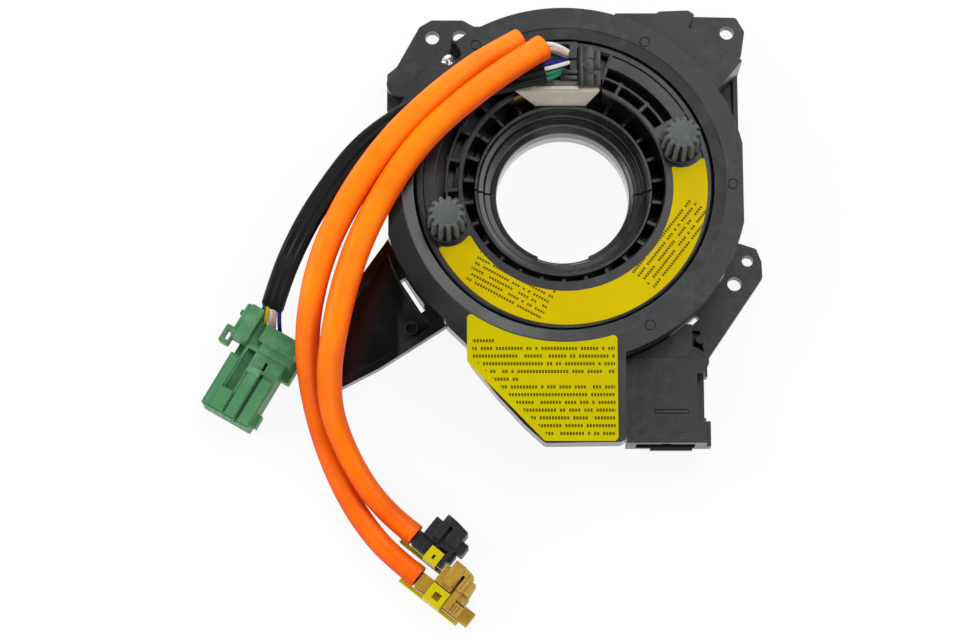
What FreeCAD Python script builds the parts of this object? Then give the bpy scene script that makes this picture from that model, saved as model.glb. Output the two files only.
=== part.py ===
# Steering clock spring: a casing fixed to the steering column and a rotor that turns with the wheel.
# Frame: millimetres, origin on the turning axis at the back plane, +Z towards the steering wheel,
# +X to the right and +Y up as seen from the driver's seat.
import FreeCAD, Part
import math
import os

os.makedirs("parts", exist_ok=True)

# Heights above the back plane
face_z = 30.0
cover_sheet = 2.0
ear_thickness = 4.6
floor_bottom_z = 2.0
floor_thickness = 2.2
socket_top_z = 18.0
socket_bottom_z = 6.6
hub_top_z = 20.0
neck_top_z = 10.8
neck_bottom_z = 0.0
rib_bottom_z = 6.9
rib_top_z = 18.4

# Radii about the turning axis
casing_radius = 64.5
cover_inner_radius = 52.9
rotor_gap = 0.7
drum_radius = 59.5
drum_wall = 2.0
bore_radius = 23.7
neck_wall = 2.4
hub_rim_radius = 31.8
hub_rim_wall = 1.2
inner_wall_radius = 35.6
inner_wall = 1.6
lip_radius = 57.0
lip_drop = 0.35
dog_circle_radius = 43.5
running_gap = 0.3
keeper_wall = 4.6
keeper_lap = 4.8
seat_gap = 0.2

# Casing
flat_right = 62.9
flat_left = 61.6
skirt_depth = 8.0
skirt_wall = 1.8
rib_wall = 1.2
edge_break = 0.8
tongue_corner_radius = 2.6
ear_hole_radius = 2.55
small_hole_radius = 2.05
snap_length = 14.0
snap_angles = (-47.9, -147.0, 20.0, 155.0)
screw_angle = 130.5
screw_circle_radius = 62.2
screw_seat_z = 17.5
screw_head_radius = 2.8
screw_shank_radius = 1.4
recess_radius = 4.2
hook_height = 2.5
mark_radius = 1.9
mark_depth = 0.5
slight_bend = 82.0

# Rotor
rim_width = 2.2
deck_drop = 0.6
deck_thickness = 2.0
band_inner_radius = 45.2
pocket_floor_z = 21.5
pocket_wall_radius = 41.0
thin_wall = 0.8
rib_pitch = 16.0
slot_rib_count = 26
slot_rib_width = 1.3
label_thickness = 0.25
label_inner_radius = 37.9
label_outer_radius = 49.9
label_corner = 1.4
label_shift = (0.5, -1.2)
flange_bottom_z = 4.7

# Angles between which the rotor's face is open: the leads' well and the pockets on both sides
well_start = 70.0
well_end = 118.0
left_start = 118.0
left_end = 189.0
right_start = 31.0
right_end = 70.0

# Terminal block and lead clamp
terminal_front_y = 31.3
terminal_back_y = 38.0
terminal_top_z = 28.8
terminal_knee_z = 20.0
terminal_lean = 2.4
clamp_notch_x = 2.2
clamp_lip_x = 2.4

# Drive dogs
dog_angle = 19.3
dog_height = 15.0
dog_base_radius = 7.3
dog_tip_radius = 6.1
dog_core_radius = 4.3
dog_top_radius = 3.8
dog_fins = 13
dog_fin_width = 1.45
dog_stem_radius = 3.0

# Ribbon
ribbon_turns = 6
ribbon_thickness = 0.3
ribbon_height = 14.4
ribbon_inner_radius = 38.3
ribbon_outer_radius = 56.2

# Cords
sleeve_diameter = 8.0
loom_diameter = 5.6
wire_diameter = 1.5
wire_stay = 3.6
wire_end_gap = 0.65
pair_offsets = ((0.6, 1.5), (-0.6, -1.5))
bundle_offsets = ((1.0, 1.1), (-1.0, 1.1), (1.0, -1.1), (-1.0, -1.1))
arc_share = 0.45

# Connectors
pin_width = 0.8
pin_pitch = 3.4
pin_count = 6
lock_travel = 2.0
seat_z = 0.3
green_length = 35.5
green_width = 19.2
green_deck_z = 11.4
green_origin = (-127.6, -74.8)
green_angle = -119.8
cavity_pitch = 3.3
squib_height = 10.2
squib_side = 1.3
lock_underside_z = 8.7
lock_strip_top_z = 3.4
contact_offsets = (2.2, 5.6)
black_squib_origin = (-57.4, -122.8)
black_squib_angle = -38.8
tan_squib_origin = (-57.6, -136.5)
tan_squib_angle = -38.2


def vec(x, y, z=0.0):
    return FreeCAD.Vector(x, y, z)


def polar(radius, angle, z=0.0):
    turn = math.radians(angle)
    return vec(radius * math.cos(turn), radius * math.sin(turn), z)


def box(x0, x1, y0, y1, z0, z1):
    return Part.makeBox(x1 - x0, y1 - y0, z1 - z0, vec(x0, y0, z0))


def disc(radius, z0, z1, x=0.0, y=0.0):
    return Part.makeCylinder(radius, z1 - z0, vec(x, y, z0))


def ring(outer, inner, z0, z1):
    return disc(outer, z0, z1).cut(disc(inner, z0 - 1, z1 + 1))


def outward(solid):
    """Turns a solid right side out, whichever way round its outline was drawn."""
    if solid.Volume < 0:
        solid.reverse()
    return solid


def turned(points):
    """A solid of revolution about the turning axis from (radius, height) points."""
    loop = [vec(r, 0, z) for r, z in points]
    face = Part.Face(Part.makePolygon(loop + loop[:1]))
    return outward(face.revolve(vec(0, 0), vec(0, 0, 1), 360))


def prism(points, z0, z1):
    loop = [vec(x, y, z0) for x, y in points]
    face = Part.Face(Part.makePolygon(loop + loop[:1]))
    return outward(face.extrude(vec(0, 0, z1 - z0)))


def corner(before, point, after, radius):
    """Tangent points and arc for one rounded corner of an outline; a slight bend stays sharp."""
    to_before = (before - point).normalize()
    to_after = (after - point).normalize()
    half = to_before.getAngle(to_after) / 2
    if half > math.radians(slight_bend):
        return point, None, point
    reach = radius / math.tan(half)
    middle = (to_before + to_after).normalize()
    start = point + to_before * reach
    end = point + to_after * reach
    top = point + middle * (radius / math.sin(half) - radius)
    return start, Part.Arc(start, top, end), end


def rounded_prism(points, radius, z0, z1, inset=0.0):
    """An extruded outline with round corners, drawn in by a distance if one is given."""
    loop = [vec(x, y, z0) for x, y in points]
    count = len(loop)
    corners = [corner(loop[i - 1], loop[i], loop[(i + 1) % count], radius) for i in range(count)]
    edges = []
    for i in range(count):
        start, arc, end = corners[i]
        if arc is not None:
            edges.append(arc.toShape())
        edges.append(Part.LineSegment(end, corners[(i + 1) % count][0]).toShape())
    wire = Part.Wire(edges)
    if inset > 0:
        wire = wire.makeOffset2D(-inset).Wires[0]
    return outward(Part.Face(wire).extrude(vec(0, 0, z1 - z0)))


def sector(outer, inner, start, end, z0, z1):
    """A slice of a ring from one angle to another."""
    middle = (start + end) / 2
    outside = Part.Arc(polar(outer, start, z0), polar(outer, middle, z0), polar(outer, end, z0))
    inside = Part.Arc(polar(inner, end, z0), polar(inner, middle, z0), polar(inner, start, z0))
    edges = [
        outside.toShape(),
        Part.LineSegment(polar(outer, end, z0), polar(inner, end, z0)).toShape(),
        inside.toShape(),
        Part.LineSegment(polar(inner, start, z0), polar(outer, start, z0)).toShape(),
    ]
    return outward(Part.Face(Part.Wire(edges)).extrude(vec(0, 0, z1 - z0)))


def radial_bar(inner, outer, width, angle, z0, z1):
    bar = box(inner, outer, -width / 2, width / 2, z0, z1)
    bar.rotate(vec(0, 0), vec(0, 0, 1), angle)
    return bar


def fused(shapes):
    return shapes[0].fuse(shapes[1:])


def placed(shape, origin, angle):
    """Moves a shape from a connector's own axes to its place in the part."""
    moved = shape.copy()
    moved.rotate(vec(0, 0), vec(0, 0, 1), angle)
    moved.translate(vec(*origin))
    return moved


def save(name, shape):
    shape.exportStep("parts/" + name + ".step")


# Values that several pieces share
skirt_bottom_z = face_z - skirt_depth
cover_under_z = face_z - cover_sheet
drum_top_z = cover_under_z - running_gap
floor_top_z = floor_bottom_z + floor_thickness
rotor_radius = cover_inner_radius - rotor_gap
deck_z = face_z - deck_drop
rim_inner_radius = rotor_radius - rim_width
inner_wall_outer = inner_wall_radius + inner_wall
collar_inner = bore_radius + neck_wall + running_gap
keeper_radius = collar_inner + keeper_wall

# The lower tongue of the cover, which holds the printed label
tongue_outline = [(-41.3, -40.0), (-41.3, -51.2), (-34.3, -58.0), (-32.9, -64.4), (-23.6, -76.1),
                  (-14.0, -86.6), (-7.1, -92.9), (21.0, -92.5), (21.0, -40.0)]
tray_outline = [(-27.5, -52.0), (-27.5, -66.0), (-21.0, -74.5), (-11.6, -84.6), (-6.0, -89.4),
                (16.0, -89.4), (18.0, -64.0), (18.0, -52.0)]


def cover_plan(z0, z1, inset):
    """The cover's outline seen from above, drawn in by a distance."""
    body = disc(casing_radius - inset, z0, z1)
    body = body.common(box(inset - flat_left, flat_right - inset, -99, 99, z0, z1))
    tongue = rounded_prism(tongue_outline, tongue_corner_radius, z0, z1, inset)
    return body.fuse(tongue)


def top_cover():
    """The upper shell: a flat ring with a short skirt, a locating rib and a tongue for the label."""
    shell = cover_plan(skirt_bottom_z, face_z, 0)
    shell = shell.cut(cover_plan(skirt_bottom_z - 1, cover_under_z, skirt_wall))
    rib_inner = drum_radius + running_gap
    rib = ring(rib_inner + rib_wall, rib_inner, skirt_bottom_z - 2, cover_under_z)
    rib = rib.cut(sector(70, 50, -118, -66, skirt_bottom_z - 3, cover_under_z + 1))
    shell = shell.fuse([rib] + [snap_leg(angle) for angle in snap_angles])
    lug = disc(recess_radius + skirt_wall, screw_seat_z, cover_under_z, *screw_place())
    lug = lug.cut(disc(drum_radius + running_gap, 0, face_z))
    shell = shell.fuse(lug)
    shell = shell.cut(disc(cover_inner_radius, 0, face_z + 1))
    shell = shell.cut(screw_notch())
    shell = shell.cut(disc(screw_shank_radius + running_gap, 0, face_z + 1, *screw_place()))
    above = face_z + 0.01
    below = face_z - edge_break
    lead_in = turned([(cover_inner_radius - 1, below), (cover_inner_radius, below),
                      (lip_radius, face_z - lip_drop), (lip_radius, above), (cover_inner_radius - 1, above)])
    return shell.cut(lead_in).cut(moulding_marks())


def moulding_marks():
    """Round ejector marks in the cover's face."""
    shape = None
    for angle in (121.5, 60.8, -0.5, -60.1, 183.9):
        place = polar(lip_radius + mark_radius + 0.3, angle)
        groove = disc(mark_radius, face_z - mark_depth, face_z + 1, place.x, place.y)
        groove = groove.cut(disc(mark_radius - 0.35, 0, face_z + 1, place.x, place.y))
        shape = groove if shape is None else shape.fuse(groove)
    return shape


def screw_notch():
    """The open recess in the cover's edge over the screw."""
    notch = box(0, 9.0, -recess_radius, recess_radius, screw_seat_z + 1.5, face_z + 1)
    notch = notch.fuse(disc(recess_radius, screw_seat_z + 1.5, face_z + 1))
    notch.rotate(vec(0, 0), vec(0, 0, 1), screw_angle)
    notch.translate(polar(screw_circle_radius, screw_angle))
    return notch


def screw_place():
    place = polar(screw_circle_radius, screw_angle)
    return place.x, place.y


def snap_leg(angle):
    """A leg of the cover with a hook that catches on the casing's wall."""
    inner = casing_radius - skirt_wall - 1.2
    half = snap_length / 2
    foot_z = ear_thickness + 4
    leg = box(inner, casing_radius - 1.2, -half, half, foot_z, cover_under_z)
    hook = box(inner - 1.0, inner, -half, half, foot_z, foot_z + hook_height)
    leg = leg.fuse(hook)
    window = box(inner - 2, casing_radius, -half / 2, half / 2, ear_thickness + 9, skirt_bottom_z - 1.5)
    leg = leg.cut(window)
    leg.rotate(vec(0, 0), vec(0, 0, 1), angle)
    return leg


def upper_left_ear():
    outline = [(-63.2, 33.0), (-63.2, 47.8), (-59.8, 50.6), (-51.6, 65.9), (-47.2, 68.5), (-35.9, 68.5),
               (-31.7, 66.1), (-25.8, 66.2), (-20.0, 52.0), (-45.0, 33.0)]
    ear = rounded_prism(outline, 1.4, 0, ear_thickness)
    ear = ear.fuse(disc(5.1, 0, 10.0, -58.1, 42.7))
    for x, y in ((-46.9, 61.9), (-36.9, 62.3)):
        ear = ear.cut(disc(ear_hole_radius, -1, face_z, x, y))
    return ear


def upper_right_ear():
    outline = [(38.0, 52.0), (46.0, 69.9), (63.8, 69.5), (66.8, 64.1), (65.5, 55.3), (63.9, 49.6),
               (63.9, 25.7), (58.0, 12.0), (50.0, 20.0)]
    ear = rounded_prism(outline, 1.4, 0, ear_thickness)
    lip = box(62.0, 63.6, 26.5, 47.0, ear_thickness - 0.1, ear_thickness + 1.8)
    block = [(14.0, 56.0), (19.0, 65.4), (33.7, 65.4), (34.9, 66.1), (45.2, 66.5), (47.3, 65.0),
             (45.1, 60.1), (64.2, 47.7), (54.6, 36.0), (52.0, 28.0), (40.0, 40.0)]
    pad = prism(block, 0, skirt_bottom_z - 0.6)
    pad = pad.cut(disc(drum_radius + rib_wall + 2 * running_gap, skirt_bottom_z - 2 - running_gap, face_z))
    return ear.fuse([lip, pad]).cut(disc(ear_hole_radius, -1, face_z, 60.4, 63.7))


def right_ear():
    outline = [(56.0, -6.0), (62.2, -15.2), (69.4, -17.6), (71.2, -22.4), (71.4, -28.2), (51.8, -57.4),
               (51.8, -60.4), (22.0, -60.4), (22.0, -54.0), (40.0, -30.0)]
    ear = rounded_prism(outline, 1.2, 0, ear_thickness)
    ear = ear.cut(disc(small_hole_radius, -1, face_z, 66.2, -22.0))
    ear = ear.cut(disc(ear_hole_radius, -1, face_z, 61.4, -30.5))
    hollow = prism([(43.2, -47.6), (48.6, -47.6), (50.0, -55.4), (46.4, -53.4), (43.2, -51.6)], 1.6, 9)
    post = disc(1.6, 0, ear_thickness + 1.2, 48.7, -51.0)
    return ear.cut(hollow).fuse(post)


def lower_left_arm():
    """A dished bracket that reaches out under the leads."""
    outline = [(-56.0, -6.0), (-61.4, -12.4), (-74.5, -31.0), (-82.4, -46.0), (-83.6, -59.4), (-79.6, -68.8),
               (-64.9, -61.1), (-41.6, -45.9), (-38.0, -38.0)]
    arm = rounded_prism(outline, 1.6, 0, ear_thickness)
    dish = rounded_prism([(-58.0, -14.0), (-72.6, -33.0), (-79.6, -47.0), (-80.8, -58.6), (-77.8, -65.0),
                          (-64.6, -57.8), (-42.0, -43.0)], 1.2, 2.4, ear_thickness + 1)
    dish = dish.cut(disc(casing_radius + 1, 0, face_z))
    ring_mark = disc(2.6, 2.4, 3.6, -53.9, -46.3).cut(disc(2.0, 2.0, 4, -53.9, -46.3))
    return arm.cut(dish).fuse(ring_mark.common(disc(120, 0, 9)))


def snap_slots():
    """Openings in the bracket under the two snaps that show from the front."""
    shape = None
    for angle in snap_angles[:2]:
        slot = box(62.9, 64.7, -snap_length / 2, snap_length / 2, -1, ear_thickness + 1)
        slot.rotate(vec(0, 0), vec(0, 0, 1), angle)
        shape = slot if shape is None else shape.fuse(slot)
    return shape


def catch(angle):
    """A ledge on the drum that a hook snaps under."""
    inner = casing_radius - skirt_wall - 1.2
    half = snap_length / 2
    ledge = box(drum_radius - 0.5, inner - running_gap, -half, half, ear_thickness + 6.9, ear_thickness + 9)
    ledge.rotate(vec(0, 0), vec(0, 0, 1), angle)
    return ledge


def base_housing():
    """The lower shell: floor, drum, mounting ears and bracket."""
    chamber = disc(drum_radius - drum_wall, 0, face_z)
    ears = upper_left_ear().fuse([upper_right_ear(), right_ear(), lower_left_arm(), socket_shelf()])
    ears = ears.cut(disc(drum_radius - 0.5, -1, face_z))
    drum = ring(drum_radius, drum_radius - drum_wall, 0, drum_top_z)
    pad_top = skirt_bottom_z + 1
    drum = drum.cut(sector(70, 50, -113, -72, 13.6, pad_top))
    floor = ring(drum_radius - 0.5, keeper_radius + running_gap, floor_bottom_z, floor_top_z)
    tray = terminal_tray().cut(chamber)
    boss = disc(3.6, 0, screw_seat_z, *screw_place()).cut(chamber)
    body = ears.fuse([drum, floor, tray, boss] + [catch(angle) for angle in snap_angles])
    head_room = disc(screw_head_radius + running_gap, screw_seat_z, face_z, *screw_place())
    body = body.cut(snap_slots()).cut(head_room)
    return body.cut(disc(screw_shank_radius, 4, face_z, *screw_place()))


def socket_shelf():
    outline = [(23.0, -56.0), (48.0, -56.0), (48.0, -84.0), (23.0, -84.0)]
    return rounded_prism(outline, 1.5, 0, socket_bottom_z)


def terminal_tray():
    """A box under the cover's tongue that guides the contact strips to the socket."""
    outside = rounded_prism(tray_outline, 1.8, 12.0, drum_top_z)
    inside = rounded_prism(tray_outline, 1.8, 13.6, face_z, 1.6)
    return outside.cut(inside).cut(box(15, 19, -80, -66, 14.4, 17.4))


def plug_socket():
    """The casing's connector: a shroud that opens downwards, with guide tabs on its right side."""
    x0, x1, y0, y1 = 21.6, 49.3, -90.7, -60.5
    body = rounded_prism([(x0, y0), (x1, y0), (x1, y1), (x0, y1)], 0.8, socket_bottom_z, socket_top_z)
    neck = box(x0 + 1.5, 45.0, y1 - 1, -48.0, socket_bottom_z, socket_top_z - 1.2)
    neck = neck.cut(disc(drum_radius + running_gap + 4.4, 0, face_z))
    collar = box(x0 - 0.1, x1 + 0.3, y0, y0 + 3.2, socket_bottom_z, socket_top_z + 0.5)
    upper_tab = box(x1 - 1, x1 + 1.2, -65.8, -61.8, socket_bottom_z, socket_top_z - 6)
    lower_tab = box(x1 - 1, x1 + 2.1, y0, -81.8, socket_bottom_z, socket_top_z - 6)
    catch_tab = box(30.2, 45.0, y0 - 0.7, y0 + 1, socket_bottom_z - 0.6, socket_bottom_z + 1.4)
    body = body.fuse([neck, collar, upper_tab, lower_tab, catch_tab])
    side_recess = box(x1 - 2.9, x1 + 1, -81.8, -65.8, socket_top_z - 7, socket_top_z + 1)
    frame_groove = box(31.2, 43.4, -80.4, -78.6, socket_top_z - 0.5, socket_top_z + 1)
    frame_land = box(31.7, 42.9, -79.9, -79.1, 0, socket_top_z - 0.1)
    mouth = box(25.0, 45.6, y0 - 3, -72.0, 8.4, 15.8)
    key = box(34.0, 37.0, y0 - 3, -72.0, 15.7, 16.7)
    body = body.cut(side_recess).cut(frame_groove.cut(frame_land)).cut(mouth).cut(key)
    for index in range(pin_count):
        body = body.cut(contact_hole(index, 0)).cut(contact_hole(index, 1))
    return body


def pin_place(index, row):
    return 26.9 + pin_pitch * index, 10.3 + 3.6 * row


def contact_hole(index, row):
    x, z = pin_place(index, row)
    half = pin_width / 2 + 0.05
    return box(x - half, x + half, -73.0, -66.0, z - half, z + half)


def socket_pins():
    """Square contacts in two rows; each bends towards the tray and ends there."""
    pins = []
    for index in range(pin_count):
        for row in range(2):
            x, z = pin_place(index, row)
            half = pin_width / 2
            pins.append(box(x - half, x + half, -84.0, -66.0, z - half, z + half))
    return Part.makeCompound(pins)


def contact_strips():
    """Stamped strips that lead from the ribbon's outer end to the socket."""
    strips = []
    for index in range(4):
        y = -70.5 - 2.6 * index
        start = -9.0 + 2.0 * index
        strips.append(prism([(start, y), (14.6, y), (14.6, y + 1.6), (start, y + 1.6)], 13.6, 14.2))
    return Part.makeCompound(strips)


def outer_terminal():
    """The moulded block that holds the ribbon's outer end in the tray."""
    block = box(-12.0, 8.0, -66.0, -60.4, 13.6, 24.0)
    tongue = box(-8.0, 4.0, -60.5, -57.0, 13.8, 19.2)
    return block.fuse(tongue)


def slip_film():
    """A thin low-friction ring on the floor under the ribbon."""
    return ring(drum_radius - drum_wall - 0.4, inner_wall_outer + 1.0, floor_top_z, floor_top_z + 0.3)


def cover_screw():
    """Cross-head screw that holds the cover to the casing."""
    x, y = screw_place()
    seat = screw_seat_z + 1.5
    head = disc(screw_head_radius, seat, seat + 1.5, x, y)
    dome = Part.makeSphere(4.6, vec(x, y, seat + 1.5 - 3.4))
    dome = dome.common(disc(screw_head_radius, seat + 1.4, seat + 4, x, y))
    shank = disc(screw_shank_radius - 0.05, 5.0, seat + 0.1, x, y)
    cross = box(x - 1.5, x + 1.5, y - 0.35, y + 0.35, seat + 1.2, seat + 4)
    other = box(x - 0.35, x + 0.35, y - 1.5, y + 1.5, seat + 1.2, seat + 4)
    return fused([head, dome, shank]).cut(cross).cut(other)


def round_corners(sheet, radius):
    """Rounds the sharp upright corners of a flat sticker."""
    corners = []
    for edge in sheet.Edges:
        ends = [vertex.Point for vertex in edge.Vertexes]
        if len(ends) == 2 and abs(ends[0].z - ends[1].z) > label_thickness / 2 and is_sharp(sheet, edge):
            corners.append(edge)
    return sheet.makeFillet(radius, corners)


def is_sharp(sheet, edge):
    """Whether the two side faces at an upright edge meet at a clear angle."""
    sides = sheet.ancestorsOfType(edge, Part.Face)
    directions = []
    for face in sides:
        u, v = face.Surface.parameter(edge.Vertexes[0].Point)
        directions.append(face.normalAt(u, v))
    return math.degrees(directions[0].getAngle(directions[1])) > 25


def casing_label():
    """The plain yellow sticker on the tongue."""
    z0 = face_z
    z1 = face_z + label_thickness
    outline = [(-34.0, -40.0), (-34.0, -64.2), (-7.2, -92.2), (18.1, -92.2), (18.1, -40.0)]
    sheet = rounded_prism(outline, 1.6, z0, z1)
    return round_corners(sheet.cut(disc(lip_radius + 0.4, 0, face_z + 1)), label_corner)


def pocket_field(start, end, first_rib):
    """Ribbed pockets between the inner wall and the flat band of the rotor's face."""
    top = deck_z - 0.6
    inside = inner_wall_outer - 0.2
    under_z = pocket_floor_z - 1.5
    rib_z = pocket_floor_z - 0.1
    floor = sector(band_inner_radius, inside, start, end, under_z, pocket_floor_z)
    step = sector(38.4, inside, start, end, rib_z, 26.0)
    back = sector(band_inner_radius + thin_wall, band_inner_radius, start, end, under_z, deck_z - 0.5)
    thin = sector(pocket_wall_radius + thin_wall, pocket_wall_radius, start, end, rib_z, top)
    pieces = [floor, step, back, thin]
    angle = first_rib
    while angle < end - 1:
        pieces.append(radial_bar(inside, pocket_wall_radius + 1.2, 1.3, angle, rib_z, top))
        angle += rib_pitch
    return pieces


def rotor_face():
    """The upper rotor moulding: rim, label deck, ribbed pockets and the well for the leads."""
    groove = rim_inner_radius - 0.6
    profile = [
        (inner_wall_radius, 6.0), (inner_wall_outer, 6.0), (inner_wall_outer, deck_z - deck_thickness),
        (rim_inner_radius, deck_z - deck_thickness), (rim_inner_radius, pocket_floor_z - 1.5),
        (rotor_radius, pocket_floor_z - 1.5), (rotor_radius, deck_z - 0.6), (rotor_radius - 0.6, deck_z),
        (rim_inner_radius, deck_z), (rim_inner_radius, deck_z - 0.9), (groove, deck_z - 0.9),
        (groove, deck_z),
        (inner_wall_radius + 0.4, deck_z), (inner_wall_radius, deck_z - 0.4),
    ]
    body = turned(profile)
    deck_cut_low = deck_z - deck_thickness - 0.5
    for start, end in ((right_start, right_end), (left_start, left_end)):
        body = body.cut(sector(band_inner_radius, inner_wall_outer, start, end, deck_cut_low, face_z + 1))
    body = body.cut(sector(groove, inner_wall_outer, well_start, well_end, deck_cut_low, face_z + 1))
    body = body.cut(box(-17.4, 13.8, 30.0, 38.2, 10.0, face_z + 1))
    well_floor = sector(rim_inner_radius + 0.5, 39.6, well_start - 1, well_end + 1, 23.5, 25.0)
    block = box(-3.0, 4.9, 45.4, 51.4, 24.9, face_z + 1)
    block = block.cut(box(-3.5, clamp_notch_x, 45.0, 50.4, 26.3, face_z + 2))
    pieces = pocket_field(right_start, right_end, 28.5 + rib_pitch)
    pieces += pocket_field(left_start, left_end, 135.5)
    ends = [radial_bar(inner_wall_radius + 0.2, rim_inner_radius, 1.2, angle, pocket_floor_z - 1.5,
                       deck_z - 0.1)
            for angle in (right_start, right_end, left_start, left_end)]
    body = body.fuse(pieces + ends + [well_floor, block])
    for angle in (dog_angle, dog_angle + 180):
        place = polar(dog_circle_radius, angle)
        body = body.fuse(disc(dog_base_radius + 0.3, deck_z - 4, deck_z, place.x, place.y))
        body = body.cut(disc(dog_base_radius + 0.05, deck_z, face_z, place.x, place.y))
        body = body.cut(disc(dog_stem_radius + 0.05, 0, face_z + 1, place.x, place.y))
    keep = ring(rotor_radius, inner_wall_radius, 0, face_z + 2)
    keep = keep.cut(box(-17.4, 13.8, 30.0, 38.0, 10.0, face_z + 1))
    return body.common(keep)


# Steps of the funnel as shares of its width and of its depth
hub_steps = [(1.0, 0.0), (0.92, 0.26), (0.68, 0.31), (0.60, 0.56), (0.33, 0.63), (0.24, 0.84), (0.05, 0.92),
             (0.0, 1.0)]


def hub_sleeve():
    """The funnel of the rotor with the bore for the column, on a flange with radial ribs."""
    neck = bore_radius + neck_wall
    profile = [
        (bore_radius, neck_bottom_z), (neck, neck_bottom_z), (neck, flange_bottom_z),
        (inner_wall_radius - seat_gap, flange_bottom_z), (inner_wall_radius - seat_gap, 7.0),
        (hub_rim_radius, 7.0),
        (hub_rim_radius, hub_top_z - 0.4), (hub_rim_radius - 0.4, hub_top_z),
    ]
    funnel = hub_rim_radius - hub_rim_wall - bore_radius
    for share, drop in hub_steps:
        profile.append((bore_radius + share * funnel, neck_top_z + (1 - drop) * (hub_top_z - neck_top_z)))
    body = turned(profile)
    ribs = []
    for index in range(slot_rib_count):
        angle = index * 360.0 / slot_rib_count - 90
        ribs.append(radial_bar(hub_rim_radius - 0.3, inner_wall_radius - seat_gap, slot_rib_width, angle,
                               rib_bottom_z, rib_top_z))
    body = body.fuse(ribs)
    slit = box(-hub_rim_radius - 1, hub_rim_radius + 1, -0.25, 0.25, neck_top_z + 1.2, hub_top_z + 1)
    flat = box(-14.3, 12.8, terminal_front_y - running_gap, 38.0, 9.0, face_z)
    notch = box(-9.0, 9.0, -bore_radius - 1.4, -bore_radius + 2, 7.6, neck_top_z + 1.6)
    return body.cut(slit).cut(flat).cut(notch)


def retaining_ring():
    """The ring under the floor that keeps the rotor in the casing."""
    outer = keeper_radius + keeper_lap
    top_z = floor_bottom_z - 0.4
    profile = [(collar_inner, 0.3), (outer, 0.3), (outer, top_z), (keeper_radius, top_z),
               (keeper_radius, flange_bottom_z), (collar_inner, flange_bottom_z)]
    body = turned(profile)
    for index in range(6):
        body = body.cut(radial_bar(outer - 3.0, outer + 1.0, 5.0, 30 + 60 * index, -1, floor_bottom_z))
    return body


def inner_terminal():
    """The flat-faced block at twelve o'clock where the ribbon meets the leads."""
    sides = [(-10.0, 10.2), (8.3, 10.2), (8.3, terminal_knee_z), (12.7, terminal_top_z),
             (-16.9, terminal_top_z), (-10.0, terminal_knee_z)]
    loop = [vec(x, terminal_front_y, z) for x, z in sides]
    depth = terminal_back_y - terminal_front_y
    block = outward(Part.Face(Part.makePolygon(loop + loop[:1])).extrude(vec(0, depth, 0)))
    slope = [(terminal_front_y - 1, terminal_knee_z), (terminal_front_y, terminal_knee_z),
             (terminal_front_y + terminal_lean, terminal_top_z), (terminal_front_y + terminal_lean, face_z),
             (terminal_front_y - 1, face_z)]
    wedge = [vec(-20.0, y, z) for y, z in slope]
    block = block.cut(outward(Part.Face(Part.makePolygon(wedge + wedge[:1])).extrude(vec(36.0, 0, 0))))
    block = block.cut(ring(60, ribbon_inner_radius - 0.1, 0, floor_top_z + ribbon_height + 1.2))
    ledge = box(-11.5, 5.4, 34.3, 35.4, terminal_top_z, terminal_top_z + 0.8)
    return block.fuse(ledge)


def drive_dog(angle):
    """A tapered grey driver with fins, pressed into the rotor's face."""
    base = deck_z
    top = base + dog_height
    envelope = turned([(0, base), (dog_base_radius, base), (dog_base_radius, base + 0.9),
                       (dog_tip_radius, top - 2.6), (dog_top_radius, top - 0.5), (dog_top_radius - 0.7, top),
                       (0, top)])
    foot = disc(dog_base_radius, base, base + 1.1)
    core = Part.makeCone(dog_core_radius + 1.2, dog_top_radius, dog_height, vec(0, 0, base))
    fins = [radial_bar(0, dog_base_radius, dog_fin_width, index * 360.0 / dog_fins, base, top)
            for index in range(dog_fins)]
    body = foot.fuse([core] + fins).common(envelope)
    body = body.fuse(disc(dog_stem_radius, base - 4.0, base + 0.5))
    body.translate(polar(dog_circle_radius, angle))
    return body


def rotor_label():
    """The plain yellow sticker that follows the rotor's lower half between the two dogs."""
    start = dog_angle - 180 + 7.5
    end = dog_angle - 7.5
    sheet = sector(label_outer_radius, label_inner_radius, start, end, deck_z, deck_z + label_thickness)
    sheet.translate(vec(*label_shift))
    for angle in (dog_angle, dog_angle + 180):
        place = polar(dog_circle_radius, angle)
        sheet = sheet.cut(disc(dog_base_radius + 1.6, 0, face_z + 1, place.x, place.y))
    return round_corners(sheet, label_corner / 2)


def lead_clamp_base():
    """The shelf under the leads where they enter the clamp."""
    shelf = box(-12.0, 4.9, 40.2, 42.2, 25.0, 26.0)
    lip = box(clamp_lip_x, 4.9, 40.2, 45.2, 25.0, 30.0)
    return shelf.fuse(lip)


def lead_clamp_cap():
    """The cap that presses on the leads, held by a moulded rivet."""
    outline = [(5.3, 39.8), (13.2, 39.8), (13.2, 48.2), (12.2, 49.4), (5.3, 50.2)]
    cap = rounded_prism(outline, 0.4, 25.0, 31.0)
    cap = cap.cut(box(10.8, 14.0, 39.0, 41.2, 24.0, 32.0))
    groove = disc(2.3, 30.7, 32.0, 9.1, 42.8).cut(disc(1.95, 30.0, 33.0, 9.1, 42.8))
    rail = box(5.3, 6.8, 40.4, 49.6, 30.9, 31.5)
    return cap.cut(groove).fuse(rail).cut(ring(60, rim_inner_radius - 0.7, 0, face_z - 0.15))


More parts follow.
